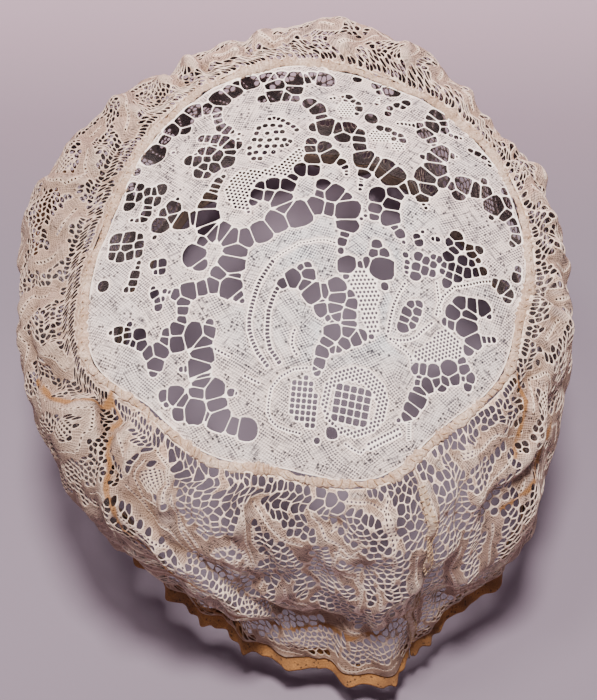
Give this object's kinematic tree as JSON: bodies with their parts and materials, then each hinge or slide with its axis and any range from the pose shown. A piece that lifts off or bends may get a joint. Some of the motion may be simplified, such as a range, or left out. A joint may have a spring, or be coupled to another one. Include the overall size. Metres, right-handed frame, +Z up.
{
  "type": "lace boudoir cap",
  "caption": "Soft puffed cap of pierced lace with a round crown panel, a gathered side wall and a narrow ruffle round the head opening.",
  "frame": {"origin": "middle of the oval head opening, where the head goes in", "axes": "+Z up along the wearer's head, +Y the way the wearer looks, +X across; the round crown panel faces back and up"},
  "size_m": [0.2465, 0.226, 0.2761],
  "materials": {
    "crown_lace": "matt cream cotton lace",
    "band_lace": "matt cream to beige cotton lace",
    "seam_roll": "matt peach beige gathered lace",
    "ochre_frill": "matt ochre lace ruffle"
  },
  "bodies": {
    "root": {"crown_panel": "crown_lace", "crown_seam": "seam_roll", "side_band": "band_lace", "band_join": "seam_roll", "hem_frill": "ochre_frill"}
  },
  "joints": []
}
